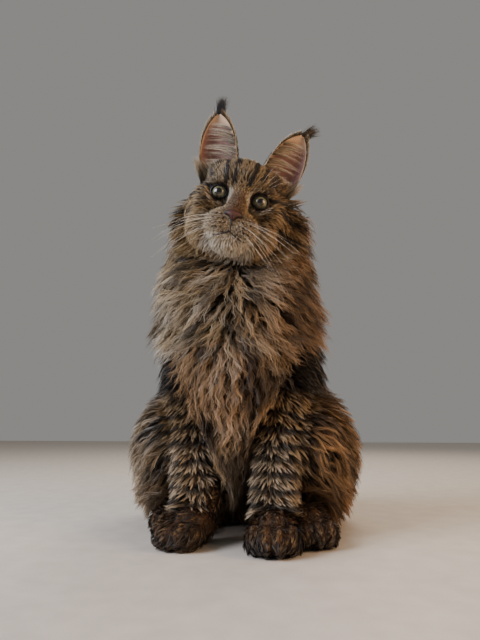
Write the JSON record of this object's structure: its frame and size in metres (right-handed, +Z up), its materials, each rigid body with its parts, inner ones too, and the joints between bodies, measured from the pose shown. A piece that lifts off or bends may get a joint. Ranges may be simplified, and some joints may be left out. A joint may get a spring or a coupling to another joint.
{
  "type": "sitting long-haired cat, life-size still model",
  "caption": "Life-size still model of a large long-haired brown tabby cat sitting upright, head on one side, with a full ruff, tufted ears and bushy tail.",
  "frame": {"origin": "on the floor under the seat, on the middle line of the rump", "axes": "+Z up, -Y the way that the cat faces, +X the cat's own left"},
  "size_m": [0.3447, 0.45, 0.5197],
  "materials": {
    "coat": "long brown tabby fur with dark stripes",
    "ruff": "wavy tan and cream fur with dark roots",
    "leg": "tan fur with narrow dark bars",
    "paw": "short dark brown fur brindled with tan",
    "ear": "thin pinkish skin inside, dark fur outside",
    "tail": "very long dark brown fur with rings",
    "eye": "wet, clear cornea over a grey-green iris",
    "nose_leather": "brick-red leather with a dark rim"
  },
  "bodies": {
    "root": {"head": "coat", "nose": "nose_leather", "eye_left": "eye", "eye_right": "eye", "ear_left": "ear", "ear_right": "ear", "neck": "ruff", "chest": "ruff", "torso": "coat", "foreleg_left": "leg", "foreleg_right": "leg", "forepaw_left": "paw", "forepaw_right": "paw", "thigh_left": "coat", "thigh_right": "coat", "hindpaw_left": "paw", "hindpaw_right": "paw", "tail_base": "tail", "tail_middle": "tail", "tail_tip": "tail"}
  },
  "joints": []
}
